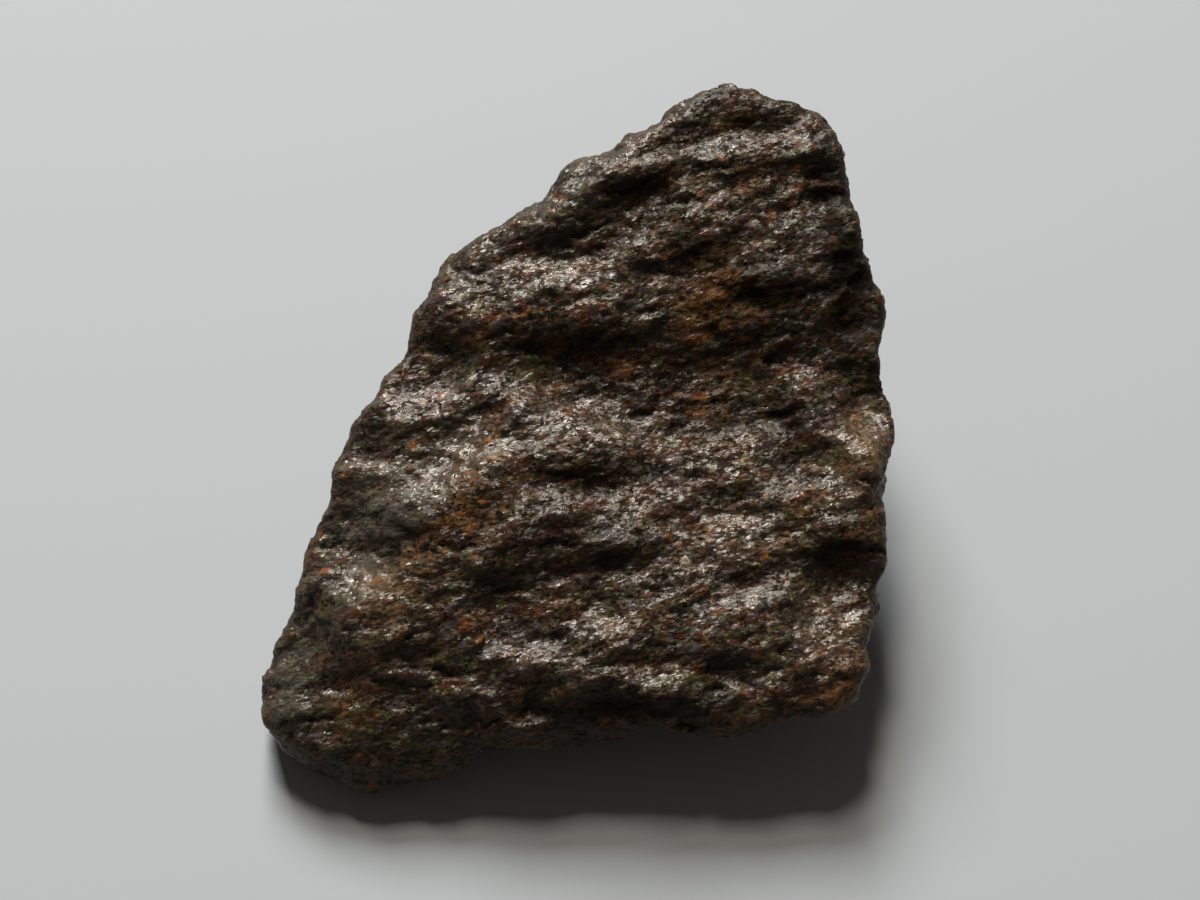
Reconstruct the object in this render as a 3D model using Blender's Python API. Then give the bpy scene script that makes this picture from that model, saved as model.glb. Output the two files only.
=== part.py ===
"""Chondrite meteorite: one weathered, broken stone that rests on a small flat foot.

Metres, +Z up. The origin is on the resting surface, under the middle of the stone's bounding box. The stone's
broad face leans towards -Y, and it is laid out on a board: an imaginary flat sheet that leans the same way. A
place on the board is (across, up, out) in millimetres: across is +X, up runs up the slope, out is off the sheet.
"""

import math
import random
from typing import NamedTuple

import bmesh
import bpy
from mathutils import Matrix, Vector, noise


class Patch(NamedTuple):
    """An oval patch of the broad face: its middle, half length and half width, turn in degrees, and depth."""

    across: float
    up: float
    length: float
    width: float
    turn: float
    depth: float


class Ledge(NamedTuple):
    """A ledge on the broad face: its middle, half length and half width, turn and tilt in degrees.

    A tread tilts back towards the level. A riser has a negative tilt and tips towards the upright.
    """

    across: float
    up: float
    length: float
    width: float
    turn: float
    tilt: float


class Knuckle(NamedTuple):
    """A round knob on the rim, or a dent in it where the push is negative."""

    across: float
    up: float
    radius: float
    push: float


MM = 0.001

# Driving dimensions: millimetres and degrees.
BOARD_LEAN = 30.0  # from level, tipped towards -Y
BOARD_HEIGHT = 14.1  # of the board's origin above the resting surface
MESH_SIZE = 1.08  # side of the faces that the surface is divided into
EDGE_WEAR = 2  # smoothing passes that wear the broken edges round
SPIKE_ANGLE = 58.0  # edges sharper than this are worn down further
SPIKE_PASSES = 4
FOOT_FADE = 1.6  # height over which the roughness dies away towards the foot
FOOT_SNAP = 0.14  # corners this near the resting surface are brought onto it
FLAT = 0.0001  # how near the resting surface counts as on it

# Corners of the broken block around its broad face: across, up, out on the board.
RIM = {
    "apex left": (6.4, 25.1, -4.2),
    "apex": (8.4, 27.0, -4.6),
    "apex right": (14.9, 24.8, -4.4),
    "top right shoulder": (17.6, 22.0, -3.6),
    "right brow": (17.8, 16.0, -3.6),
    "right knuckle": (20.6, 9.8, -3.4),
    "right cheek": (20.9, 1.4, -0.8),
    "right flank": (19.7, -5.6, 0.6),
    "lower right flank": (18.7, -14.0, 2.4),
    "lower right corner": (18.0, -19.0, 2.9),
    "lower edge right": (12.0, -18.3, 3.5),
    "lower edge middle": (1.0, -18.6, 3.4),
    "lower edge left": (-5.0, -19.8, 2.8),
    "lower left edge": (-15.8, -21.4, 1.6),
    "left corner": (-24.5, -18.6, -0.5),
    "left corner low": (-24.3, -19.2, -4.2),
    "left corner top": (-23.7, -15.6, -1.4),
    "left flank low": (-21.0, -6.8, -0.4),
    "left flank": (-17.8, 1.0, -0.6),
    "left shoulder": (-13.6, 8.2, -1.8),
    "upper left knuckle": (-11.8, 13.1, -3.4),
    "upper left brow": (-6.8, 16.1, -3.2),
    "upper left edge": (-4.2, 18.0, -2.8),
    "upper edge": (2.6, 21.7, -2.9),
}

# Broad swells inside the rim: across, up, out on the board.
FACE = {
    "left swell": (-10.0, 1.0, 1.2),
    "middle swell": (4.0, -6.0, 1.8),
    "lower swell": (0.0, -15.0, 3.9),
    "upper swell": (4.0, 12.0, -1.5),
    "lower left swell": (-14.0, -14.0, 2.4),
}

# Corners of the block below its broad face: x, y and height above the resting surface.
UNDERSIDE = {
    "front toe": (-16.4, -21.7, 1.2),
    "left toe": (-22.2, -16.6, 1.6),
    "left side low": (-17.0, -4.0, 3.0),
    "left side": (-17.2, 2.0, 7.0),
    "back left low": (-9.0, 13.0, 4.0),
    "back left": (-9.0, 16.6, 13.0),
    "back low": (3.0, 18.0, 3.4),
    "back": (6.0, 25.0, 12.0),
    "back right": (15.4, 23.0, 13.0),
    "back right low": (13.0, 16.0, 4.0),
    "right side": (20.0, 6.0, 9.0),
    "right side low": (17.4, 6.0, 4.2),
    "right front": (18.4, -6.6, 6.4),
    "foot front left": (-5.0, -4.4, -0.5),
    "foot front right": (3.0, -4.6, -0.5),
    "foot right": (6.4, 1.6, -0.5),
    "foot back right": (4.0, 7.4, -0.5),
    "foot back left": (-3.4, 6.0, -0.5),
}

# Hollows in the broad face: a broad worn one, and a small pit by the left edge.
HOLLOWS = [
    Patch(2.0, 4.5, 15.0, 9.0, 0, 1.8),
    Patch(-16.0, 0.0, 1.0, 1.0, 0, 0.5),
]

# Ledges of the broad face, from the cap down to the lower edge.
LEDGES = {
    "cap riser": Ledge(11.5, 23.0, 3.0, 1.0, 0, -28),
    "cap tread": Ledge(10.5, 21.5, 5.0, 1.0, 8, 34),
    "brow riser": Ledge(15.5, 19.5, 1.5, 2.0, 0, -26),
    "shoulder tread": Ledge(6.5, 19.0, 2.5, 1.0, -40, 30),
    "shoulder riser": Ledge(2.5, 18.5, 3.5, 1.0, 12, -35),
    "upper rim tread": Ledge(-3.0, 17.5, 3.0, 1.0, 35, 20),
    "shelf back riser": Ledge(-3.5, 14.5, 3.0, 1.0, 25, -25),
    "shelf tread, right": Ledge(1.5, 14.0, 2.5, 1.0, 25, 42),
    "shelf tread, left": Ledge(-3.5, 12.5, 3.0, 1.0, -8, 34),
    "shelf lip": Ledge(0.0, 11.5, 2.0, 1.0, -15, 30),
    "right tread": Ledge(11.0, 13.0, 2.5, 1.0, -20, 26),
    "rust hollow riser": Ledge(7.0, 14.0, 2.5, 1.5, 0, -30),
    "right riser": Ledge(12.0, 11.5, 3.0, 1.0, -5, -36),
    "right edge riser": Ledge(17.5, 13.0, 1.5, 3.0, 0, -22),
    "valley riser, left": Ledge(-11.0, 8.0, 2.0, 2.0, 0, -26),
    "valley riser": Ledge(-2.0, 7.5, 5.5, 1.5, 0, -40),
    "valley riser, right": Ledge(9.5, 7.5, 5.0, 3.0, 0, -20),
    "middle shelf, left": Ledge(-5.0, 4.0, 2.5, 1.0, -15, 32),
    "middle shelf": Ledge(-1.5, 2.5, 3.5, 1.0, -10, 42),
    "middle shelf, right": Ledge(2.0, 1.0, 3.0, 1.0, -20, 32),
    "groove riser": Ledge(13.0, 2.5, 3.0, 1.0, -45, -36),
    "right rim tread": Ledge(18.5, 1.0, 1.5, 2.0, 0, 50),
    "left shelf": Ledge(-12.0, 3.0, 2.5, 1.0, -5, 24),
    "left knob": Ledge(-9.0, -0.5, 2.0, 1.5, 30, 50),
    "left flank": Ledge(-12.5, -2.5, 3.5, 2.0, 0, 22),
    "left flank, low": Ledge(-17.0, -9.0, 2.5, 3.0, 0, 24),
    "middle riser": Ledge(-2.0, -1.5, 4.0, 1.0, -8, -38),
    "right middle tread": Ledge(14.0, -2.0, 3.0, 1.0, 0, 30),
    "hollow riser": Ledge(-3.0, -6.0, 5.0, 3.0, 0, -18),
    "hollow riser, left": Ledge(-7.0, -9.0, 2.0, 1.5, 0, -28),
    "hollow riser, right": Ledge(1.5, -7.5, 3.0, 1.0, 0, -32),
    "bright tread": Ledge(8.0, -5.5, 3.0, 1.0, 5, 40),
    "bright tread, low": Ledge(7.5, -8.0, 3.0, 1.0, 8, 32),
    "notch riser": Ledge(16.5, -7.0, 2.5, 1.5, 0, -38),
    "lower right tread": Ledge(10.0, -10.0, 3.0, 1.0, 15, 40),
    "corner tread": Ledge(15.5, -12.5, 3.0, 2.0, -10, 28),
    "lower middle tread": Ledge(0.5, -11.5, 2.5, 1.0, 8, 38),
    "lower left tread": Ledge(-3.0, -14.0, 3.0, 1.0, -10, 34),
    "left riser": Ledge(-13.0, -13.0, 3.0, 1.5, 15, -22),
    "low right riser": Ledge(8.0, -14.5, 2.5, 1.0, 0, -34),
    "low tread": Ledge(4.0, -15.5, 2.0, 1.0, 0, 32),
    "low left tread": Ledge(-8.0, -16.0, 2.5, 1.0, 0, 28),
    "low riser": Ledge(1.5, -17.5, 4.5, 1.0, 0, -22),
    "hook tread": Ledge(-5.0, -19.0, 1.5, 1.0, 0, 46),
    "left corner tread": Ledge(-21.0, -16.0, 2.0, 2.0, 0, 26),
    "left corner tread, low": Ledge(-19.5, -19.0, 2.0, 1.0, 0, 32),
}

# Knobs and dents around the rim.
KNUCKLES = [
    Knuckle(9.0, 25.6, 2.6, 0.3),
    Knuckle(3.2, 22.3, 2.0, -0.4),
    Knuckle(-1.6, 19.6, 2.2, 1.1),
    Knuckle(12.2, 25.0, 1.2, -0.4),
    Knuckle(15.4, 23.2, 1.6, 0.5),
    Knuckle(18.2, 15.0, 1.8, -0.5),
    Knuckle(19.2, 12.4, 1.4, -0.1),
    Knuckle(20.3, 9.2, 1.6, 0.7),
    Knuckle(19.6, 5.4, 2.4, -1.0),
    Knuckle(20.2, 1.2, 2.2, 0.3),
    Knuckle(19.0, -9.0, 5.0, 0.3),
    Knuckle(13.0, -19.0, 3.6, -0.8),
    Knuckle(18.5, -17.4, 2.8, 0.4),
    Knuckle(1.6, -19.4, 4.2, -2.4),
    Knuckle(-6.2, -20.8, 3.6, -2.8),
    Knuckle(-10.6, -22.6, 2.6, -1.0),
    Knuckle(-20.4, -21.6, 2.4, 0.2),
    Knuckle(-22.2, -13.4, 2.2, -0.5),
    Knuckle(-12.9, 7.6, 1.6, -0.3),
    Knuckle(-14.9, 4.6, 2.0, 0.2),
    Knuckle(-11.0, 11.6, 2.0, 0.2),
]

# Worn hollows over the sides and the back, placed by a seeded draw.
BACK_HOLLOWS = 26
BACK_HOLLOW_RADIUS = (2.4, 5.2)
BACK_HOLLOW_DEPTH = (0.4, 1.2)
BACK_SEED = 7
HEART = Vector((-2.0, 2.0, 10.0))  # a point deep inside the stone, which the hollows sink towards

# Lumps all over: the wavelength and height of the coarse ones, each finer octave being smaller.
LUMP_SIZE = 5.0
LUMP_HEIGHT = 0.34
LUMP_OCTAVES = 3

# Crags all over: short sharp ridges, longer across than up.
CRAG_SIZE = 2.6
CRAG_STRETCH = 1.7
CRAG_HEIGHT = 0.48
CRAG_MIDDLE = 1.2  # the noise's own mean
FACE_ROUGH = 0.7  # how much of the lumps and crags the broad face keeps
BACK_ROUGH = 1.7  # how much of them the sides and the back have

CRUST_COLOUR = (0.050, 0.034, 0.024, 1.0)
CRUST_ROUGHNESS = 0.45


def board():
    """The matrix that carries a place on the board to the block's own millimetres."""
    return Matrix.Translation((0, 0, BOARD_HEIGHT)) @ Matrix.Rotation(math.radians(BOARD_LEAN), 4, "X")


def smooth_step(x):
    """0 below 0, 1 above 1, and a smooth rise between."""
    x = max(0.0, min(1.0, x))
    return x * x * (3 - 2 * x)


def block():
    """The block as it broke: the convex hull of its corners, in millimetres."""
    bm = bmesh.new()
    on_board = board()
    for place in [*RIM.values(), *FACE.values()]:
        bm.verts.new(on_board @ Vector(place))
    for place in UNDERSIDE.values():
        bm.verts.new(place)
    hull = bmesh.ops.convex_hull(bm, input=bm.verts)
    spare = {*hull["geom_interior"], *hull["geom_unused"]}
    inside = [vert for vert in spare if isinstance(vert, bmesh.types.BMVert)]
    bmesh.ops.delete(bm, geom=inside, context="VERTS")
    bmesh.ops.recalc_face_normals(bm, faces=bm.faces)
    return bm


def evenly_divided(bm):
    """The same shape in even faces of about MESH_SIZE, with its edges worn round."""
    rough = bpy.data.meshes.new("block")
    bm.to_mesh(rough)
    bm.free()
    holder = bpy.data.objects.new("block", rough)
    bpy.context.scene.collection.objects.link(holder)
    remesh = holder.modifiers.new("even faces", "REMESH")
    remesh.mode = "VOXEL"
    remesh.voxel_size = MESH_SIZE
    wear = holder.modifiers.new("worn edges", "SMOOTH")
    wear.factor = 0.5
    wear.iterations = EDGE_WEAR
    even = bmesh.new()
    even.from_object(holder, bpy.context.evaluated_depsgraph_get())
    bpy.data.objects.remove(holder)
    bpy.data.meshes.remove(rough)
    return even


def in_patch(patch, place):
    """Where a place on the board lies in a patch or a ledge: (along it, over it), each 1 at its edge."""
    turn = math.radians(patch.turn)
    dx = place.x - patch.across
    dy = place.y - patch.up
    along = dx * math.cos(turn) + dy * math.sin(turn)
    over = dy * math.cos(turn) - dx * math.sin(turn)
    return along / patch.length, over / patch.width


def face_relief(place):
    """How far the ledges and hollows lift the broad face at a place on the board."""
    lift = 0.0
    for hollow in HOLLOWS:
        along, over = in_patch(hollow, place)
        lift -= hollow.depth * math.exp(-along * along - over * over)
    for ledge in LEDGES.values():
        along, over = in_patch(ledge, place)
        drop = ledge.width * math.tan(math.radians(ledge.tilt))
        lift -= drop * over * math.exp(-along * along - over * over / 2)
    return lift


def rim_push(place):
    """How far the knobs and dents push the rim outwards at a place on the board."""
    push = 0.0
    for knuckle in KNUCKLES:
        away = math.hypot(place.x - knuckle.across, place.y - knuckle.up) / knuckle.radius
        push += knuckle.push * math.exp(-away * away)
    return push


def back_hollows(bm, out):
    """The hollows over the sides and the back: (middle, radius, depth) for each."""
    draw = random.Random(BACK_SEED)
    behind = [vert.co.copy() for vert in bm.verts if vert.normal.dot(out) < 0.2]
    hollows = []
    for _ in range(BACK_HOLLOWS):
        middle = draw.choice(behind)
        hollows.append((middle, draw.uniform(*BACK_HOLLOW_RADIUS), draw.uniform(*BACK_HOLLOW_DEPTH)))
    return hollows


def back_wear(co, hollows):
    """How far the hollows sink the sides and the back at a point."""
    wear = 0.0
    for middle, radius, depth in hollows:
        away = (co - middle).length / radius
        wear += depth * math.exp(-away * away)
    return wear


def roughness(co, place):
    """The height of the lumps and crags at a point, which is also given as a place on the board."""
    lumps = noise.fractal(co / LUMP_SIZE, 1.0, 2.0, LUMP_OCTAVES)
    on_crags = Vector((place.x / CRAG_STRETCH, place.y, place.z)) / CRAG_SIZE
    crags = noise.ridged_multi_fractal(on_crags, 1.0, 2.0, 2, 1.0, 2.0) - CRAG_MIDDLE
    return LUMP_HEIGHT * lumps + CRAG_HEIGHT * crags


def weather(bm):
    """Moves the surface in and out by the ledges, hollows, knobs, lumps and crags."""
    bm.normal_update()
    on_board = board()
    off_board = on_board.inverted()
    out = (on_board.to_3x3() @ Vector((0, 0, 1))).normalized()
    hollows = back_hollows(bm, out)
    moves = []
    for vert in bm.verts:
        place = off_board @ vert.co
        facing = smooth_step((vert.normal.dot(out) - 0.1) / 0.5)
        clear = smooth_step(vert.co.z / FOOT_FADE)
        sideways = vert.normal - vert.normal.dot(out) * out
        rough = roughness(vert.co, place) * (FACE_ROUGH * facing + BACK_ROUGH * (1 - facing))
        wear = back_wear(vert.co, hollows) * (1 - facing)
        move = out * face_relief(place) * facing + sideways * rim_push(place)
        move += (vert.normal * rough - (vert.co - HEART).normalized() * wear) * clear
        moves.append(move)
    for vert, move in zip(bm.verts, moves):
        vert.co += move


def blunt_spikes(bm):
    """Wears down the few edges that weathering has left too sharp."""
    for _ in range(SPIKE_PASSES):
        bm.normal_update()
        sharp = [edge for edge in bm.edges if edge.calc_face_angle() > math.radians(SPIKE_ANGLE)]
        tips = list({vert for edge in sharp for vert in edge.verts})
        bmesh.ops.smooth_vert(bm, verts=tips, factor=0.5, use_axis_x=True, use_axis_y=True, use_axis_z=True)


def press_foot(bm):
    """Presses the lowest bulge flat, for the foot that the stone rests on."""
    for vert in bm.verts:
        if abs(vert.co.z) < FOOT_SNAP:
            vert.co.z = 0.0
    everything = [*bm.verts, *bm.edges, *bm.faces]
    bmesh.ops.bisect_plane(bm, geom=everything, dist=FLAT, plane_co=(0, 0, 0), plane_no=(0, 0, -1))
    for vert in bm.verts:
        vert.co.z = max(vert.co.z, 0.0)
    sole = [face for face in bm.faces if all(vert.co.z < FLAT for vert in face.verts)]
    bmesh.ops.dissolve_faces(bm, faces=sole)


def centre(bm):
    """Brings the middle of the bounding box over the origin, and changes millimetres to metres."""
    low = Vector([min(vert.co[k] for vert in bm.verts) for k in range(3)])
    high = Vector([max(vert.co[k] for vert in bm.verts) for k in range(3)])
    middle = (low + high) / 2
    bmesh.ops.translate(bm, verts=bm.verts, vec=(-middle.x, -middle.y, -low.z))
    bmesh.ops.scale(bm, verts=bm.verts, vec=(MM, MM, MM))


def crust():
    """The material of the weathered crust."""
    material = bpy.data.materials.new("crust")
    material.use_nodes = True
    shader = material.node_tree.nodes["Principled BSDF"]
    shader.inputs["Base Color"].default_value = CRUST_COLOUR
    shader.inputs["Roughness"].default_value = CRUST_ROUGHNESS
    shader.inputs["Metallic"].default_value = 0.0
    return material


def main():
    """Builds the stone."""
    for old in list(bpy.data.objects):
        bpy.data.objects.remove(old)
    bm = evenly_divided(block())
    weather(bm)
    blunt_spikes(bm)
    press_foot(bm)
    centre(bm)
    bmesh.ops.recalc_face_normals(bm, faces=bm.faces)
    mesh = bpy.data.meshes.new("stone")
    bm.to_mesh(mesh)
    bm.free()
    mesh.shade_smooth()
    mesh.materials.append(crust())
    stone = bpy.data.objects.new("stone", mesh)
    bpy.context.scene.collection.objects.link(stone)
    return stone


if __name__ == "__main__":
    main()
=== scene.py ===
"""Chondrite meteorite: the finished surface of the stone, on a plain pale floor in soft studio light.

Metres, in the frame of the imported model: +Z up, with the stone resting on Z = 0. The stone's broad face
leans towards -Y. It is laid out on a board, an imaginary flat sheet that leans the same way, and a place on
the board is (across, up, out) in millimetres: across is +X, up runs up the slope, and out is off the sheet.
"""

import logging
import math
from dataclasses import dataclass, field
from enum import Enum
from typing import Any, Dict, List, Tuple, Union

import bpy
import numpy as np
from mathutils import Matrix, Vector, noise


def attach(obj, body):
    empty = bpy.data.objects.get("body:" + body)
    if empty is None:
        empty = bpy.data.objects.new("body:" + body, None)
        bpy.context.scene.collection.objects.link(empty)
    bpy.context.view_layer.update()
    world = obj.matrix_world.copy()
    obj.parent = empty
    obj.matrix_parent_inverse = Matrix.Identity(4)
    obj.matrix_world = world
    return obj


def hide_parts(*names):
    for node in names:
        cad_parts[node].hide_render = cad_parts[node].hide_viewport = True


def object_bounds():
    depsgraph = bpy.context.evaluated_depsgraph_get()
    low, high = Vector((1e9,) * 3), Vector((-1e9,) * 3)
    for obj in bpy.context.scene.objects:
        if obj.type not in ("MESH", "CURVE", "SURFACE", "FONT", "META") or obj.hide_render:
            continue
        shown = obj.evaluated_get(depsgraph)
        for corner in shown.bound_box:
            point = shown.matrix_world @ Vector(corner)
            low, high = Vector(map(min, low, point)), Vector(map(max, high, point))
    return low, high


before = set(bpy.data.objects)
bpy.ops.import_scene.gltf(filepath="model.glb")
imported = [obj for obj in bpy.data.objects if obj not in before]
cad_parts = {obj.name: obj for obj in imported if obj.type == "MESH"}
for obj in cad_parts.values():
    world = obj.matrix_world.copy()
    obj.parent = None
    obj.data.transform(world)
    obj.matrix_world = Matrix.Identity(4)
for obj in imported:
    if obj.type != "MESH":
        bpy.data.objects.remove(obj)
CAD_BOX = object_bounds()

log = logging.getLogger("meteorite")

MM = 0.001
Pair = Tuple[float, float]
Triple = Tuple[float, float, float]
Colour = Tuple[float, float, float, float]


def smooth_step(x: float) -> float:
    """0 below 0, 1 above 1, and a smooth rise between."""
    x = max(0.0, min(1.0, x))
    return x * x * (3.0 - 2.0 * x)


def ramp(values: np.ndarray, start: float, full: float) -> np.ndarray:
    """0 up to start and 1 from full on, with an even rise between; full may lie below start."""
    return np.clip((values - start) / (full - start), 0.0, 1.0)


def deselect_all() -> None:
    """Leaves object mode with nothing selected."""
    if bpy.context.object and bpy.context.object.mode != "OBJECT":
        bpy.ops.object.mode_set(mode="OBJECT")
    bpy.ops.object.select_all(action="DESELECT")


def make_active(thing: bpy.types.Object) -> None:
    """Selects one object alone and makes it the active one.

    Args:
        thing: the object.
    """
    deselect_all()
    thing.select_set(True)
    bpy.context.view_layer.objects.active = thing


# --------------------------------------------------------------------------------------------------
# Places on the stone
# --------------------------------------------------------------------------------------------------


@dataclass(frozen=True)
class Board:
    """The imaginary sheet that the broad face is laid out on."""

    lean: float = math.radians(30.0)
    middle: Triple = (1.60, -2.37, 14.1)  # in the stone's frame, millimetres

    def to_stone(self) -> Matrix:
        """The matrix from board millimetres to metres in the stone's frame."""
        turn = Matrix.Rotation(self.lean, 4, "X")
        return Matrix.Scale(MM, 4) @ Matrix.Translation(self.middle) @ turn

    def to_board(self) -> Matrix:
        """The matrix from metres in the stone's frame to board millimetres."""
        return self.to_stone().inverted()

    def outward(self) -> Vector:
        """The direction straight off the board."""
        return (self.to_stone().to_3x3() @ Vector((0.0, 0.0, 1.0))).normalized()

    def upward(self) -> Vector:
        """The direction straight up the board's slope."""
        return (self.to_stone().to_3x3() @ Vector((0.0, 1.0, 0.0))).normalized()


@dataclass(frozen=True)
class Patch:
    """An oval patch of the broad face, in board millimetres and degrees, and how strong it is."""

    across: float
    up: float
    length: float
    width: float
    turn: float = 0.0
    strength: float = 1.0

    def weight(self, place: Vector) -> float:
        """The patch's strength at a place on the board, which fades out past its edge.

        Args:
            place: the place on the board, in millimetres.

        Returns:
            The strength there, from 0 up to the patch's own.
        """
        turn = math.radians(self.turn)
        dx = place.x - self.across
        dy = place.y - self.up
        along = (dx * math.cos(turn) + dy * math.sin(turn)) / self.length
        over = (dy * math.cos(turn) - dx * math.sin(turn)) / self.width
        return self.strength * math.exp(-along * along - over * over)


class Stain(Enum):
    """The stains of the crust, with the painted shade and the painted highlights among them. Each is painted
    into the mesh as an attribute of that name.
    """

    SHEEN = "sheen"
    SOOT = "soot"
    RUST = "rust"
    TAN = "tan"
    GREY = "grey"


STAINS: Dict[Stain, List[Patch]] = {
    # Gloss with a painted highlight that the ledges don't give: the upper shelf, the left knob and the lower
    # right corner.
    Stain.SHEEN: [
        Patch(-3.0, 12.5, 3.5, 1.0, -10, 0.6),
        Patch(-9.0, -0.5, 2.0, 2.0, 30, 0.8),
        Patch(-2.0, 2.5, 4.0, 1.5, -15, 0.3),
        Patch(8.5, -6.5, 3.5, 2.0, 10, 0.4),
        Patch(15.5, -12.5, 3.0, 2.0, -20, 0.6),
    ],
    # Painted shade on the peak, in the hollow under the upper rim, down the right side and in the valley.
    Stain.SOOT: [
        Patch(9.5, 24.0, 4.0, 1.5, 0, 0.5),
        Patch(2.5, 18.5, 4.0, 1.5, 10, 0.5),
        Patch(7.0, 14.0, 3.0, 1.5, 0, 0.5),
        Patch(16.5, 16.0, 1.5, 5.0, 10, 0.7),
        Patch(11.5, 10.5, 5.0, 3.5, -10, 0.7),
        Patch(17.5, 9.5, 1.5, 4.0, 0, 0.8),
        Patch(-1.0, 7.5, 7.0, 1.5, 0, 0.3),
        Patch(8.0, 3.0, 6.0, 2.0, -20, 0.6),
        # Painted shade too in the hollow in the middle, the notch, the lower edge and the pit by the left
        # edge.
        Patch(-3.0, -1.5, 4.5, 1.0, -8, 0.5),
        Patch(-3.0, -6.5, 6.0, 3.0, 0, 0.5),
        Patch(16.5, -6.5, 2.5, 1.5, 0, 0.5),
        Patch(1.5, -17.5, 6.5, 1.0, 0, 0.5),
        Patch(-16.0, 0.0, 0.5, 0.5, 0, 1.0),
    ],
    # Rust on the upper face, along the lower left slope and at the corners.
    Stain.RUST: [
        Patch(7.6, 11.0, 3.6, 3.0, -30, 1.0),
        Patch(-9.6, -4.4, 6.4, 1.6, 42, 0.9),
        Patch(-14.2, -10.6, 3.2, 2.0, 60, 0.8),
        Patch(-8.3, 9.7, 1.6, 0.9, 0, 0.7),
        Patch(-7.6, -12.4, 1.8, 0.9, 0, 0.8),
        Patch(-16.8, -17.2, 2.2, 1.2, 10, 0.7),
        Patch(-4.8, -20.2, 2.4, 0.9, 0, 0.7),
        Patch(16.4, -16.0, 2.2, 2.6, 0, 0.9),
        Patch(6.9, 9.0, 1.6, 1.4, 0, 0.9),
        Patch(11.0, 18.4, 4.6, 1.6, -10, 0.4),
        Patch(4.6, 4.6, 5.0, 1.8, -20, 0.5),
        Patch(12.0, -5.6, 5.0, 2.2, 10, 0.35),
    ],
    # Tan on the lower left slope, the right rim and the lower right corner.
    Stain.TAN: [
        Patch(-14.5, -11.0, 2.0, 3.0, 0, 0.4),
        Patch(18.5, -1.5, 1.5, 2.5, 0, 0.6),
        Patch(18.5, 3.0, 1.0, 2.0, 0, 0.25),
        Patch(17.2, -17.2, 1.6, 1.8, 0, 0.6),
    ],
    # Grey down the left edge and by the upper shelf, partly a painted highlight, and a painted highlight of
    # grey along the upper rim.
    Stain.GREY: [
        Patch(-15.0, -5.0, 3.5, 5.5, -25, 0.9),
        Patch(-9.5, 0.0, 2.5, 1.5, 30, 0.6),
        Patch(-20.5, -11.0, 1.0, 3.0, 0, 0.8),
        Patch(-21.5, -16.5, 2.0, 2.5, 0, 0.8),
        Patch(-2.5, 12.5, 4.5, 1.5, 0, 0.5),
        Patch(-2.5, 18.0, 4.0, 1.0, 35, 0.8),
    ],
}


# --------------------------------------------------------------------------------------------------
# The stone's surface
# --------------------------------------------------------------------------------------------------


class Grain(Enum):
    """The kinds of roughness that a displacement can lay over the stone."""

    CLOUDS = "CLOUDS"
    CELLS = "VORONOI"


@dataclass(frozen=True)
class Roughening:
    """One layer of roughness, and how it is drawn out over the stone."""

    name: str
    grain: Grain
    size: float  # of one bump, millimetres
    height: float  # of one bump, millimetres; the bumps are pits where it is below 0
    stretch: Triple = (1.0, 1.0, 1.0)
    turn: float = 0.0  # degrees, on the board
    middle: float = 0.5  # the level of the texture that leaves the surface where it is
    settings: Dict[str, Any] = field(default_factory=dict)


ROUGHENINGS = [
    Roughening("bumps", Grain.CELLS, 0.70, -0.09, (1.4, 1.0, 1.0), 10.0, 0.4, {"noise_intensity": 1.0}),
    Roughening("grains", Grain.CLOUDS, 0.38, 0.10, (1.3, 1.0, 1.0), 10.0, 0.5, {"noise_depth": 1}),
]


@dataclass(frozen=True)
class Chips:
    """The flat facets that a broken stone shows, each tilted its own way."""

    size: float  # millimetres across one facet
    tilt: float  # how steeply the facets tilt
    stretch: float = 1.8  # how much longer they are across the stone than up it
    ragged: float = 0.3  # how far their edges wander, as a share of the size
    ragged_detail: float = 2.0  # how many times finer than the facets that wandering is
    spread: float = 7.3  # how far apart in the noise the tilts of two neighbours are taken
    turn: float = 12.0  # degrees, on the board

    def lift(self, place: Vector) -> float:
        """How far the facet at a place on the board stands out there.

        Args:
            place: the place on the board, in millimetres.

        Returns:
            The height in millimetres.
        """
        turned = Matrix.Rotation(math.radians(-self.turn), 3, "Z") @ place
        spot = Vector((turned.x / self.stretch, turned.y, turned.z)) / self.size
        spot += self.ragged * noise.noise_vector(spot * self.ragged_detail)
        near = noise.voronoi(spot)[1][0]
        lean = noise.noise_vector(near * self.spread)
        return self.size * self.tilt * (spot - near).dot(lean)


@dataclass(frozen=True)
class Swell:
    """A smooth random rise and fall over the stone."""

    strength: float
    size: float  # of one rise or fall, millimetres
    stretch: float = 1.0  # how much longer the rises are across the stone than up it
    offset: Triple = (0.0, 0.0, 0.0)  # where in the noise it is taken

    def at(self, place: Vector) -> float:
        """How high the swell is at a place on the board."""
        spot = Vector((place.x / self.stretch, place.y, place.z)) / self.size
        return self.strength * noise.noise(spot + Vector(self.offset))


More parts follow.
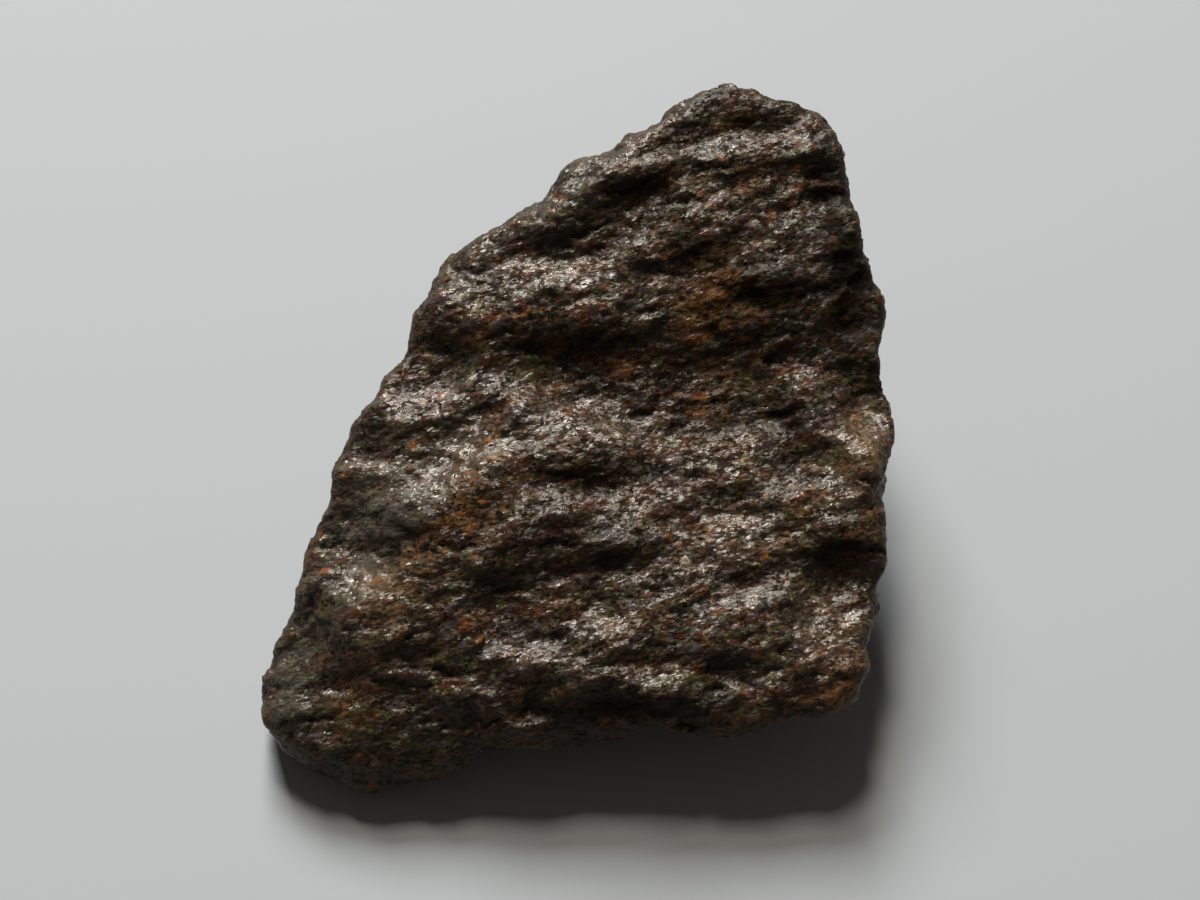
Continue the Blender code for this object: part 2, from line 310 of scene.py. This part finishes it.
@dataclass(frozen=True)
class Treads:
    """The small treads and risers that run across the stone where it broke."""

    period: float = 1.3  # millimetres from one tread to the next, up the board
    height: float = 0.06  # millimetres
    riser_share: float = 0.26  # of the period that the riser takes
    climb: float = 0.22  # how steeply the treads climb to the right, at most
    climb_from: float = -12.0  # millimetres across the board, where they begin to climb
    climb_over: float = 20.0  # millimetres in which they come to the full climb
    sink: float = 0.35  # how far they run down the board for each millimetre off it
    faint: float = 0.25  # how high they stand where they are faintest, as a share of the height
    wander: Tuple[Swell, ...] = (Swell(2.2, 4.2), Swell(0.8, 1.7, 1.0, (7.0, 3.0, 1.0)))  # in periods
    patches: Swell = Swell(1.4, 2.1, 1.8)  # where they stand high and where they are faint

    def lift(self, place: Vector) -> float:
        """How far the treads lift the surface at a place on the board.

        Args:
            place: the place on the board, in millimetres.

        Returns:
            The height in millimetres, which is below 0 at the back of a tread.
        """
        climb = self.climb * smooth_step((place.x - self.climb_from) / self.climb_over)
        wander = sum(swell.at(place) for swell in self.wander)
        phase = (place.y - climb * place.x + self.sink * place.z) / self.period + wander
        rise = phase - math.floor(phase)
        if rise < 1.0 - self.riser_share:
            step = 0.5 - rise / (1.0 - self.riser_share)
        else:
            step = -0.5 + smooth_step((rise - 1.0 + self.riser_share) / self.riser_share)
        patchy = smooth_step(0.5 + self.patches.at(place))
        return self.height * step * (self.faint + (1.0 - self.faint) * patchy)


@dataclass
class Crust:
    """The stone's weathered surface, modelled on a fine copy of the solid.

    The copy is roughened, eased back inside the solid's box, and stained, with painted shade and painted
    highlights among the stains.
    """

    node: str = "stone"
    body: str = "root"
    slot: str = "crust"
    board: Board = field(default_factory=Board)
    join: float = 0.01  # millimetres; corners of the solid that are nearer than this are one
    mesh_size: float = 0.245  # millimetres
    facet_smoothing: int = 5  # passes that take the solid's facets off
    smoothing_factor: float = 0.5  # how far one pass moves a corner, from 0 to 1
    ease: float = 0.35  # how far inside the solid's box the easing back begins, millimetres
    foot_bare: float = 0.05  # height up to which the foot stays plain, millimetres
    foot_clear: float = 0.9  # height over which the roughness then comes to its full depth, millimetres
    treads: Treads = Treads()
    seed: int = 3
    chips: Tuple[Chips, ...] = (Chips(2.6, 0.20), Chips(1.25, 0.20), Chips(0.7, 0.20))
    relief_span: float = 2.0  # standard deviations from level that count as fully deep or proud
    broad: Pair = (0.30, 0.70)  # how squarely a surface faces off the board to be on the broad face
    leans: Dict[Stain, Triple] = field(
        default_factory=lambda: {Stain.SHEEN: (0.20, 0.60, 0.35), Stain.SOOT: (0.15, -0.35, 0.30)}
    )  # up the board, towards the lights: where each starts, where it is full, and how strong it is then; what leans up gets gloss and a painted highlight, and what leans down gets painted shade

    def build(self) -> bpy.types.Object:
        """Models the crust, hands it to the frame and dresses it.

        Returns:
            The finished object, which rides on the stone's body and stands for its solid.
        """
        crust = self.fine_copy()
        before = self.positions(crust)
        normals = self.normals(crust)
        self.carve(crust)
        for layer in ROUGHENINGS:
            self.roughen(crust, layer)
        self.fit_inside(crust)
        self.paint_relief(crust, before, normals)
        self.paint_stains(crust, normals)
        crust.data.materials.clear()
        crust.data.materials.append(CrustFinish(self.board).material())
        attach(crust, self.body)
        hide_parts(self.node)
        log.info("crust: %d faces", len(crust.data.polygons))
        return crust

    def fine_copy(self) -> bpy.types.Object:
        """Copies the stone's solid and divides the copy finely and evenly.

        Returns:
            The copy, smooth shaded and the active object.
        """
        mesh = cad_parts[self.node].data.copy()
        crust = bpy.data.objects.new("meteorite_crust", mesh)
        bpy.context.scene.collection.objects.link(crust)
        make_active(crust)
        bpy.ops.object.mode_set(mode="EDIT")
        bpy.ops.mesh.select_all(action="SELECT")
        bpy.ops.mesh.remove_doubles(threshold=self.join * MM)
        bpy.ops.mesh.customdata_custom_splitnormals_clear()
        bpy.ops.object.mode_set(mode="OBJECT")
        even = crust.modifiers.new("even", "REMESH")
        even.mode = "VOXEL"
        even.voxel_size = self.mesh_size * MM
        bpy.ops.object.modifier_apply(modifier=even.name)
        worn = crust.modifiers.new("worn", "SMOOTH")
        worn.factor = self.smoothing_factor
        worn.iterations = self.facet_smoothing
        bpy.ops.object.modifier_apply(modifier=worn.name)
        bpy.ops.object.shade_smooth()
        return crust

    @staticmethod
    def positions(crust: bpy.types.Object) -> np.ndarray:
        """Where the mesh's corners are.

        Args:
            crust: the stone's mesh.

        Returns:
            Their places in metres, one row for each.
        """
        co = np.empty(len(crust.data.vertices) * 3)
        crust.data.vertices.foreach_get("co", co)
        return co.reshape(-1, 3)

    @staticmethod
    def normals(crust: bpy.types.Object) -> np.ndarray:
        """The directions out of the surface at the mesh's corners.

        Args:
            crust: the stone's mesh.

        Returns:
            Unit vectors, one row for each.
        """
        out = np.empty(len(crust.data.vertices) * 3)
        crust.data.vertex_normals.foreach_get("vector", out)
        return out.reshape(-1, 3)

    @staticmethod
    def put(crust: bpy.types.Object, co: np.ndarray) -> None:
        """Moves the mesh's corners to these places, in metres."""
        crust.data.vertices.foreach_set("co", co.ravel())
        crust.data.update()

    def away_from_foot(self, height: float) -> float:
        """0 on the foot, rising to 1 a little above it; height in metres."""
        return smooth_step((height / MM - self.foot_bare) / self.foot_clear)

    def carve(self, crust: bpy.types.Object) -> None:
        """Carves the small treads and chips the surface into facets.

        Args:
            crust: the stone's mesh.
        """
        noise.seed_set(self.seed)
        to_board = self.board.to_board()
        co = self.positions(crust)
        out = self.normals(crust)
        lifts = np.zeros(len(co))
        for k, point in enumerate(co):
            clear = self.away_from_foot(point[2])
            if clear > 0.0:
                place = to_board @ Vector(point)
                lifts[k] = clear * (self.treads.lift(place) + sum(chips.lift(place) for chips in self.chips))
        self.put(crust, co + out * lifts[:, None] * MM)
        log.info("carved")

    def roughen(self, crust: bpy.types.Object, layer: Roughening) -> None:
        """Lays one layer of roughness over the stone, apart from its foot.

        Args:
            crust: the stone's mesh.
            layer: the layer.
        """
        texture = bpy.data.textures.new(layer.name, layer.grain.value)
        texture.noise_scale = layer.size
        for name, value in layer.settings.items():
            setattr(texture, name, value)
        bpy.ops.object.empty_add()
        guide = bpy.context.object
        turned = Matrix.Rotation(math.radians(layer.turn), 4, "Z")
        guide.matrix_world = self.board.to_stone() @ turned @ Matrix.Diagonal((*layer.stretch, 1.0))
        clear = self.foot_group(crust)
        make_active(crust)
        lift = crust.modifiers.new(layer.name, "DISPLACE")
        lift.texture = texture
        lift.texture_coords = "OBJECT"
        lift.texture_coords_object = guide
        lift.strength = layer.height * MM
        lift.mid_level = layer.middle
        lift.vertex_group = clear
        bpy.ops.object.modifier_apply(modifier=lift.name)
        crust.vertex_groups.clear()
        bpy.data.objects.remove(guide)
        bpy.data.textures.remove(texture)
        log.info("roughened with %s", layer.name)

    def foot_group(self, crust: bpy.types.Object) -> str:
        """Adds a vertex group that is 0 on the foot and 1 away from it, in steps of a tenth.

        Args:
            crust: the stone's mesh.

        Returns:
            The group's name.
        """
        group = crust.vertex_groups.new(name="clear of the foot")
        levels: Dict[float, List[int]] = {}
        for k, point in enumerate(self.positions(crust)):
            levels.setdefault(round(self.away_from_foot(point[2]), 1), []).append(k)
        for level, members in levels.items():
            group.add(members, level, "REPLACE")
        return group.name

    def fit_inside(self, crust: bpy.types.Object) -> None:
        """Eases the corners that roughness took past the solid's box back inside it.

        Args:
            crust: the stone's mesh.
        """
        low, high = (np.array(corner) for corner in CAD_BOX)
        ease = self.ease * MM
        co = self.positions(crust)
        past = np.maximum(co - (high - ease), 0.0)
        co += ease * (1.0 - np.exp(-past / ease)) - past
        past = np.maximum((low + ease) - co, 0.0)
        past[:, 2] = 0.0
        co -= ease * (1.0 - np.exp(-past / ease)) - past
        co[:, 2] = np.maximum(co[:, 2], 0.0)
        self.put(crust, co)

    def paint_relief(self, crust: bpy.types.Object, before: np.ndarray, normals: np.ndarray) -> None:
        """Keeps how far each corner stands out, as the attribute relief: 0 deep, 0.5 level and 1 proud.

        Args:
            crust: the stone's mesh.
            before: where its corners were before it was roughened.
            normals: the directions out of the surface then.
        """
        lift = ((self.positions(crust) - before) * normals).sum(1) / MM
        spread = self.relief_span * lift.std()
        relief = np.clip(0.5 + 0.5 * (lift - lift.mean()) / spread, 0.0, 1.0)
        kept = crust.data.attributes.new("relief", "FLOAT", "POINT")
        kept.data.foreach_set("value", relief.astype(np.float32))

    def ledge_light_and_shade(self, normals: np.ndarray) -> Dict[Stain, np.ndarray]:
        """The gloss and painted light that follow the ledges: treads that lean up towards the lights get
        gloss and a painted highlight, and risers that lean away get painted shade.

        Args:
            normals: the directions out of the surface, one row for each corner.

        Returns:
            How strong each of those stains is at each corner, from 0 to 1.
        """
        broad = ramp(normals @ np.array(self.board.outward()), *self.broad)
        lean = normals @ np.array(self.board.upward())
        return {
            stain: broad * ramp(lean, start, full) * strength
            for stain, (start, full, strength) in self.leans.items()
        }

    def paint_stains(self, crust: bpy.types.Object, normals: np.ndarray) -> None:
        """Paints where each stain, the painted shade and the painted highlight lie, as one attribute for
        each.

        Args:
            crust: the stone's mesh.
            normals: the directions out of the surface before it was roughened.
        """
        to_board = self.board.to_board()
        places = [to_board @ Vector(point) for point in self.positions(crust)]
        # The gloss with its painted highlight, and the painted shade, that the lean of the ledges gives.
        worn = self.ledge_light_and_shade(normals)
        for stain, patches in STAINS.items():
            weights = np.array([sum(patch.weight(place) for patch in patches) for place in places])
            weights = np.minimum(weights + worn.get(stain, 0.0), 1.0)
            kept = crust.data.attributes.new(stain.value, "FLOAT", "POINT")
            kept.data.foreach_set("value", weights.astype(np.float32))


# --------------------------------------------------------------------------------------------------
# Materials
# --------------------------------------------------------------------------------------------------


Operand = Union["Value", float]


class Value:
    """A number socket of a material, with the arithmetic that adds the Math nodes."""

    def __init__(self, graph: "Graph", socket: bpy.types.NodeSocket) -> None:
        """Wraps one socket of a graph."""
        self.graph = graph
        self.socket = socket

    def maths(self, operation: str, first: Operand, second: Operand) -> "Value":
        """A Math node of this operation on two values."""
        node = self.graph.node("ShaderNodeMath", {"operation": operation}, {0: first, 1: second})
        return Value(self.graph, node.outputs[0])

    def __add__(self, other: Operand) -> "Value":
        """self + other."""
        return self.maths("ADD", self, other)

    def __radd__(self, other: Operand) -> "Value":
        """other + self."""
        return self.maths("ADD", other, self)

    def __sub__(self, other: Operand) -> "Value":
        """self - other."""
        return self.maths("SUBTRACT", self, other)

    def __rsub__(self, other: Operand) -> "Value":
        """other - self."""
        return self.maths("SUBTRACT", other, self)

    def __mul__(self, other: Operand) -> "Value":
        """self * other."""
        return self.maths("MULTIPLY", self, other)

    def __rmul__(self, other: Operand) -> "Value":
        """other * self."""
        return self.maths("MULTIPLY", other, self)

    def centred(self) -> "Value":
        """The value less a half, so that one from 0 to 1 lies evenly about 0."""
        return self - 0.5

    def clamp(self) -> "Value":
        """The value held between 0 and 1."""
        node = self.graph.node("ShaderNodeClamp", {}, {"Value": self})
        return Value(self.graph, node.outputs[0])

    def step(self, low: float, high: float) -> "Value":
        """0 where the value is below low, 1 above high, and a smooth rise between.

        Args:
            low: where the rise starts.
            high: where it ends.

        Returns:
            The new value.
        """
        settings = {"interpolation_type": "SMOOTHSTEP"}
        inputs = {"Value": self, 1: low, 2: high, 3: 0.0, 4: 1.0}
        node = self.graph.node("ShaderNodeMapRange", settings, inputs)
        return Value(self.graph, node.outputs[0])


@dataclass(frozen=True)
class Facets:
    """Flat facets in a material: their height in millimetres, and two numbers from 0 to 1 for each facet."""

    height: Value
    tone: Value
    tint: Value


@dataclass(frozen=True)
class Tint:
    """A colour that lies over another, and how strong it is where its mask is 1."""

    colour: Colour
    strength: float


class Graph:
    """A material's node tree, and the few ways that nodes are added to it."""

    noise_detail = 3.0

    def __init__(self, name: str) -> None:
        """Starts a material with an empty tree.

        Args:
            name: the material's name.
        """
        self.material = bpy.data.materials.new(name)
        self.material.use_nodes = True
        self.tree = self.material.node_tree
        self.tree.nodes.clear()

    def node(self, kind: str, settings: Dict[str, Any], inputs: Dict[Any, Any]) -> bpy.types.Node:
        """Adds one node.

        Args:
            kind: the node's type.
            settings: its own settings by name, which are set first.
            inputs: the value or link of each input socket, by the socket's name or number.

        Returns:
            The new node.
        """
        node = self.tree.nodes.new(kind)
        for name, setting in settings.items():
            setattr(node, name, setting)
        for key, value in inputs.items():
            if isinstance(value, Value):
                value = value.socket
            if isinstance(value, bpy.types.NodeSocket):
                self.tree.links.new(value, node.inputs[key])
            else:
                node.inputs[key].default_value = value
        return node

    def attribute(self, name: str) -> Value:
        """A number painted on the mesh."""
        node = self.node("ShaderNodeAttribute", {"attribute_name": name}, {})
        return Value(self, node.outputs["Fac"])

    def speckle(self, place: bpy.types.NodeSocket, per_mm: float, offset: float) -> Value:
        """Soft noise, from 0 to 1.

        Args:
            place: the place on the stone, in millimetres.
            per_mm: how many blobs there are to a millimetre.
            offset: where in the noise it is taken.

        Returns:
            The noise.
        """
        inputs = {"Vector": place, "Scale": per_mm, "Detail": self.noise_detail, "W": offset}
        node = self.node("ShaderNodeTexNoise", {"noise_dimensions": "4D"}, inputs)
        return Value(self, node.outputs[0])

    def vector(self, operation: str, first: Any, second: Any) -> bpy.types.Node:
        """A Vector Math node of this operation."""
        return self.node("ShaderNodeVectorMath", {"operation": operation}, {0: first, 1: second})

    def facets(self, place: bpy.types.NodeSocket, per_mm: float, tilt: float) -> Facets:
        """Flat facets, each tilted its own way.

        Args:
            place: the place on the stone, in millimetres.
            per_mm: how many facets there are to a millimetre.
            tilt: how steeply they tilt.

        Returns:
            Their height, tone and tint.
        """
        cells = self.node("ShaderNodeTexVoronoi", {}, {"Vector": place, "Scale": per_mm})
        middle, colour = cells.outputs["Position"], cells.outputs["Color"]
        across = self.vector("SUBTRACT", place, middle).outputs[0]
        lean = self.vector("SUBTRACT", colour, (0.5, 0.5, 0.5)).outputs[0]
        height = Value(self, self.vector("DOT_PRODUCT", across, lean).outputs["Value"]) * (2.0 * tilt)
        split = self.node("ShaderNodeSeparateColor", {}, {"Color": colour})
        return Facets(height, Value(self, split.outputs[0]), Value(self, split.outputs[1]))

    def mix(self, mask: Value, first: Any, second: Any) -> bpy.types.NodeSocket:
        """One colour where the mask is 0 and another where it is 1."""
        node = self.node("ShaderNodeMix", {"data_type": "RGBA"}, {"Factor": mask, 6: first, 7: second})
        return node.outputs[2]

    def tint(self, mask: Value, under: bpy.types.NodeSocket, tint: Tint) -> bpy.types.NodeSocket:
        """The colour under the tint where the mask is 0, and the tint at its own strength where it is 1."""
        return self.mix(mask * tint.strength, under, tint.colour)

    def board_place(self, board: Board, stretch: Triple, turn: float) -> bpy.types.NodeSocket:
        """Object coordinates laid along the board.

        Args:
            board: the board.
            stretch: how far a pattern is drawn out across, up and off the board.
            turn: how far it is turned on the board, in degrees.

        Returns:
            The place in millimetres, drawn out and turned.
        """
        coords = self.node("ShaderNodeTexCoord", {}, {}).outputs["Object"]
        laid = self.node(
            "ShaderNodeMapping",
            {"vector_type": "POINT"},
            {"Vector": coords, "Rotation": (-board.lean, 0.0, 0.0), "Scale": (1 / MM, 1 / MM, 1 / MM)},
        ).outputs[0]
        return self.node(
            "ShaderNodeMapping",
            {"vector_type": "TEXTURE"},
            {"Vector": laid, "Rotation": (0.0, 0.0, math.radians(turn)), "Scale": stretch},
        ).outputs[0]

    def finish(self, shader: bpy.types.Node) -> bpy.types.Material:
        """Joins the shader to the material's output and returns the material."""
        self.node("ShaderNodeOutputMaterial", {}, {"Surface": shader.outputs[0]})
        return self.material


@dataclass(frozen=True)
class WearAndPaintedLight:
    """What the colour, gloss and grain of the crust share: its facets, its tones and its masks, the painted
    shade and painted highlight among them.
    """

    place: bpy.types.NodeSocket
    coarse: Facets
    fine: Facets
    tone: Value
    hue: Value
    spots: Value
    relief: Value
    soot: Value
    sheen: Value
    rust: Value


@dataclass(frozen=True)
class CrustFinish:
    """The weathered crust: near-black brown with a dull gloss, stained with rust, tan and grey, with painted
    shade and painted highlights.
    """

    board: Board
    # The darkest brown, which is also the colour of the painted shade.
    dark: Colour = (0.008, 0.006, 0.003, 1.0)
    brown: Colour = (0.080, 0.040, 0.012, 1.0)
    olive: Colour = (0.058, 0.052, 0.014, 1.0)
    maroon: Colour = (0.090, 0.024, 0.014, 1.0)
    orange: Colour = (0.420, 0.140, 0.022, 1.0)
    gold: Colour = (0.260, 0.150, 0.035, 1.0)
    violet: Tint = Tint((0.050, 0.037, 0.046, 1.0), 0.8)
    # The pale painted highlight, laid on where the sheen is.
    pale: Tint = Tint((0.130, 0.085, 0.052, 1.0), 0.5)
    rust: Tint = Tint((0.180, 0.072, 0.017, 1.0), 0.7)
    tan: Tint = Tint((0.260, 0.165, 0.075, 1.0), 0.7)
    # The grey, which is partly a painted highlight.
    grey: Tint = Tint((0.115, 0.108, 0.084, 1.0), 0.7)
    painted_shade_strength: float = 0.6  # of the dark that the painted shade lays over the rest
    sheen: Colour = (1.0, 0.88, 0.76, 1.0)  # of the highlights

    # How the pattern is drawn out over the board, and how many degrees it is turned there.
    stretch: Triple = (1.8, 1.0, 1.0)
    turn: float = 16.0
    # Soft noise: how many blobs there are to a millimetre, and where in the noise it is taken.
    blotches: Pair = (0.22, 0.0)
    spots: Pair = (0.9, 4.0)
    hues: Pair = (1.0, 30.0)
    flecks: Pair = (1.2, 12.0)
    grain: Pair = (3.2, 16.0)
    # Facets: how many there are to a millimetre, and how steeply they tilt.
    coarse: Pair = (2.4, 0.17)
    fine: Pair = (6.2, 0.24)

    # Where each colour begins to show in its mask, and where it is full.
    brown_hues: Pair = (0.38, 0.46)
    maroon_hues: Pair = (0.55, 0.66)
    warm_hues: Pair = (0.4, 0.6)
    violet_tones: Pair = (0.7, 0.9)
    grey_relief: Pair = (0.1, 0.7)
    rust_range: Pair = (0.3, 1.2)
    fleck_range: Pair = (0.60, 0.90)

    # How much each of the things named beside it sways a mask.
    tone_shares: Pair = (0.4, 0.6)  # coarse and fine facets
    hue_sway: Pair = (0.35, 0.20)  # coarse and fine facets
    painted_shade_sway: Pair = (0.7, 0.6)  # everywhere, and by spots
    shade_sway: Triple = (0.9, 1.5, 0.3)  # spots, tone and painted shade
    rust_sway: Triple = (1.6, 2.2, 1.8)  # blotches, spots and tone
    fleck_sway: Pair = (0.25, 0.12)  # coarse facets and rust
    fleck_strength: Pair = (0.2, 0.6)  # everywhere, and by fine facets
    # How much of a stain still shows on the darkest facets.
    grey_base: float = 0.3
    gloss_and_highlight_base: float = 0.5
    tan_base: float = 0.2
    # The strength of the blotches above which they rust the crust.
    blotch_level: float = 0.60

    gloss: Pair = (0.26, 0.56)  # roughness of the glossiest and the dullest fine facet
    gloss_sway: Triple = (0.12, 0.10, 0.12)  # rust dulls it, and relief and sheen sharpen it
    gloss_ior: float = 1.6
    dull_roughness: float = 0.8
    dull_ior: float = 1.2
    dull_base: float = 0.25  # how dull it is before the next four sway it
    dull_sway: Tuple[float, float, float, float] = (0.9, 0.3, 0.6, 0.6)  # painted shade, rust, spots and sheen
    grain_height: float = 0.12  # millimetres

    def material(self) -> bpy.types.Material:
        """Mixes a glossy and a dull surface of the same colour and grain.

        Returns:
            The finished material.
        """
        graph = Graph("crust")
        worn = self.wear_and_painted_light(graph)
        bump = {"Strength": 1.0, "Distance": MM, "Height": self.relief_height(graph, worn)}
        normal = graph.node("ShaderNodeBump", {}, bump).outputs[0]
        surface = {"Base Color": self.colour(graph, worn), "Normal": normal, "Specular Tint": self.sheen}
        glossy = {**surface, "Roughness": self.roughness(worn), "IOR": self.gloss_ior}
        dull = {**surface, "Roughness": self.dull_roughness, "IOR": self.dull_ior}
        sides = [graph.node("ShaderNodeBsdfPrincipled", {}, side).outputs[0] for side in (glossy, dull)]
        shader = graph.node("ShaderNodeMixShader", {}, {0: self.dullness(worn), 1: sides[0], 2: sides[1]})
        return graph.finish(shader)

    def wear_and_painted_light(self, graph: Graph) -> WearAndPaintedLight:
        """Lays out the facets, tones and masks that the rest is made from, the painted shade and painted
        highlight among them.

        Args:
            graph: the material's nodes.

        Returns:
            The facets, tones and masks.
        """
        place = graph.board_place(self.board, self.stretch, self.turn)
        coarse = graph.facets(place, *self.coarse)
        fine = graph.facets(place, *self.fine)
        tone = coarse.tone * self.tone_shares[0] + fine.tone * self.tone_shares[1]
        hue = graph.speckle(place, *self.hues) + coarse.tint.centred() * self.hue_sway[0]
        hue = hue + fine.tint.centred() * self.hue_sway[1]
        spots = graph.speckle(place, *self.spots)
        blotches = graph.speckle(place, *self.blotches)
        # The painted shade mask, which also dulls the gloss.
        even, spotty = self.painted_shade_sway
        soot = (graph.attribute(Stain.SOOT.value) * (even + spots * spotty)).clamp()
        # The sheen: gloss, and a painted highlight in the colour.
        sheen = (graph.attribute(Stain.SHEEN.value) * (self.gloss_and_highlight_base + tone)).clamp()
        by_blotches, by_spots, by_tone = self.rust_sway
        rusty = graph.attribute(Stain.RUST.value) + (blotches - self.blotch_level) * by_blotches
        rust = (rusty + spots.centred() * by_spots + tone.centred() * by_tone).step(*self.rust_range)
        relief = graph.attribute("relief")
        return WearAndPaintedLight(place, coarse, fine, tone, hue, spots, relief, soot, sheen, rust)

    def ground(self, graph: Graph, worn: WearAndPaintedLight) -> bpy.types.NodeSocket:
        """The brown ground under the stains, varied at random by spots and facets, with painted shade in the
        deep places of the roughness and where the painted shade lies.

        Args:
            graph: the material's nodes.
            worn: the facets, tones and masks.

        Returns:
            The colour.
        """
        by_spots, by_tone, by_painted_shade = self.shade_sway
        # Painted shade: the deep places of the relief are darker.
        shade = worn.spots.centred() * by_spots + worn.relief.centred() + worn.tone.centred() * by_tone
        shade = shade + 0.5 - worn.soot * by_painted_shade
        colour = graph.mix(worn.hue.step(*self.brown_hues), self.olive, self.brown)
        colour = graph.mix(worn.hue.step(*self.maroon_hues), colour, self.maroon)
        colour = graph.tint(worn.coarse.tone.step(*self.violet_tones), colour, self.violet)
        return graph.mix(shade.clamp(), self.dark, colour)

    def colour(self, graph: Graph, worn: WearAndPaintedLight) -> bpy.types.NodeSocket:
        """The ground with its stains and painted light: grey, partly a painted highlight; the pale painted
        highlight; rust, warm flecks, tan and the painted shade.

        Args:
            graph: the material's nodes.
            worn: the facets, tones and masks.

        Returns:
            The colour.
        """
        # Grey on the proud places, partly a painted highlight.
        grey = graph.attribute(Stain.GREY.value) * (self.grey_base + worn.tone)
        grey = (grey * worn.relief.step(*self.grey_relief)).clamp()
        colour = graph.tint(grey, self.ground(graph, worn), self.grey)
        # Painted highlight: the pale is laid over where the sheen is.
        colour = graph.tint(worn.sheen, colour, self.pale)
        colour = graph.tint(worn.rust, colour, self.rust)
        by_facets, by_rust = self.fleck_sway
        flecks = graph.speckle(worn.place, *self.flecks) + worn.coarse.tint.centred() * by_facets
        flecks = (flecks + worn.rust * by_rust).step(*self.fleck_range)
        even, by_fine = self.fleck_strength
        warm = graph.mix(worn.hue.step(*self.warm_hues), self.gold, self.orange)
        colour = graph.mix(flecks * (even + worn.fine.tone * by_fine), colour, warm)
        tan = (graph.attribute(Stain.TAN.value) * (self.tan_base + worn.tone)).clamp()
        colour = graph.tint(tan, colour, self.tan)
        # Painted shade: the dark is laid over where the painted shade mask lies.
        return graph.mix(worn.soot * self.painted_shade_strength, colour, self.dark)

    def roughness(self, worn: WearAndPaintedLight) -> Value:
        """How rough the glossy surface is.

        Args:
            worn: the facets, tones and masks.

        Returns:
            The roughness.
        """
        low, high = self.gloss
        by_rust, by_relief, by_sheen = self.gloss_sway
        rough = worn.fine.tone * (high - low) + low + worn.rust * by_rust
        return (rough - worn.relief.centred() * by_relief - worn.sheen * by_sheen).clamp()

    def dullness(self, worn: WearAndPaintedLight) -> Value:
        """How much of the surface is dull.

        Args:
            worn: the facets, tones and masks.

        Returns:
            0 where it is all glossy and 1 where it is all dull.
        """
        by_painted_shade, by_rust, by_spots, by_sheen = self.dull_sway
        dull = worn.soot * by_painted_shade + worn.rust * by_rust + (0.5 - worn.spots) * by_spots
        return (dull - worn.sheen * by_sheen + self.dull_base).clamp()

    def relief_height(self, graph: Graph, worn: WearAndPaintedLight) -> Value:
        """The height of the finest facets and grains, in millimetres."""
        grain = graph.speckle(worn.place, *self.grain)
        return worn.coarse.height + worn.fine.height + grain * self.grain_height


@dataclass(frozen=True)
class FloorFinish:
    """The plain pale floor."""

    colour: Colour = (0.42, 0.43, 0.425, 1.0)
    roughness: float = 0.7

    def material(self) -> bpy.types.Material:
        """Makes one even surface.

        Returns:
            The finished material.
        """
        graph = Graph("floor")
        surface = {"Base Color": self.colour, "Roughness": self.roughness}
        shader = graph.node("ShaderNodeBsdfPrincipled", {}, surface)
        return graph.finish(shader)


# --------------------------------------------------------------------------------------------------
# Studio
# --------------------------------------------------------------------------------------------------


@dataclass(frozen=True)
class SoftLight:
    """A rectangular lamp that points at the stone: azimuth from +Y towards +X and elevation, in degrees."""

    name: str
    azimuth: float
    elevation: float
    distance: float  # metres
    width: float  # metres
    height: float  # metres
    power: float  # watts
    colour: Triple

    def place(self) -> None:
        """Adds the lamp and aims it at the stone."""
        across, rise = math.radians(self.azimuth), math.radians(self.elevation)
        way = Vector((math.sin(across) * math.cos(rise), math.cos(across) * math.cos(rise), math.sin(rise)))
        deselect_all()
        bpy.ops.object.light_add(type="AREA", location=way * self.distance)
        lamp = bpy.context.object
        lamp.name = self.name
        lamp.rotation_euler = way.to_track_quat("Z", "Y").to_euler()
        lamp.data.shape = "RECTANGLE"
        lamp.data.size = self.width
        lamp.data.size_y = self.height
        lamp.data.energy = self.power
        lamp.data.color = self.colour


@dataclass
class Studio:
    """The floor, the soft lights, the sky and the camera."""

    board: Board = field(default_factory=Board)
    floor_width: float = 4.0  # metres
    sky: Colour = (0.95, 0.91, 0.86, 1.0)
    sky_strength: float = 0.07
    camera_elevation: float = 60.0  # degrees
    camera_distance: float = 0.200  # metres
    camera_near: float = 0.01  # nearest distance that it sees, metres
    view_width: float = 0.08276  # how far across the camera sees, at the board, metres
    lights: Tuple[SoftLight, ...] = (
        SoftLight("window", -12.0, 42.0, 1.20, 0.44, 0.44, 19.5, (0.93, 0.97, 1.0)),
        SoftLight("lamp", -10.0, 60.0, 1.20, 0.20, 0.20, 4.6, (1.0, 0.93, 0.85)),
    )

    def build(self) -> None:
        """Builds the whole studio."""
        self.lay_floor()
        for light in self.lights:
            light.place()
        self.fill_sky()
        self.set_camera()
        log.info("studio ready")

    def lay_floor(self) -> None:
        """Lays the plain floor that the stone rests on."""
        deselect_all()
        bpy.ops.mesh.primitive_plane_add(size=self.floor_width)
        floor = bpy.context.object
        floor.name = "floor"
        floor.data.materials.append(FloorFinish().material())

    def fill_sky(self) -> None:
        """Fills the room with an even, weak light."""
        world = bpy.data.worlds.new("room")
        world.use_nodes = True
        background = world.node_tree.nodes["Background"]
        background.inputs["Color"].default_value = self.sky
        background.inputs["Strength"].default_value = self.sky_strength
        bpy.context.scene.world = world

    def set_camera(self) -> None:
        """Sets the camera square to the board, looking along +Y and down."""
        rise = math.radians(self.camera_elevation)
        back = Vector((0.0, -math.cos(rise), math.sin(rise)))
        deselect_all()
        bpy.ops.object.camera_add(location=Vector(self.board.middle) * MM + back * self.camera_distance)
        camera = bpy.context.object
        camera.rotation_euler = back.to_track_quat("Z", "Y").to_euler()
        camera.data.lens = camera.data.sensor_width * self.camera_distance / self.view_width
        camera.data.clip_start = self.camera_near
        bpy.context.scene.camera = camera
        bpy.context.scene.view_settings.view_transform = "Standard"


def main() -> None:
    """Builds the stone and the studio."""
    logging.basicConfig(level=logging.INFO, format="%(name)s: %(message)s")
    Crust().build()
    Studio().build()


if __name__ == "__main__":
    main()
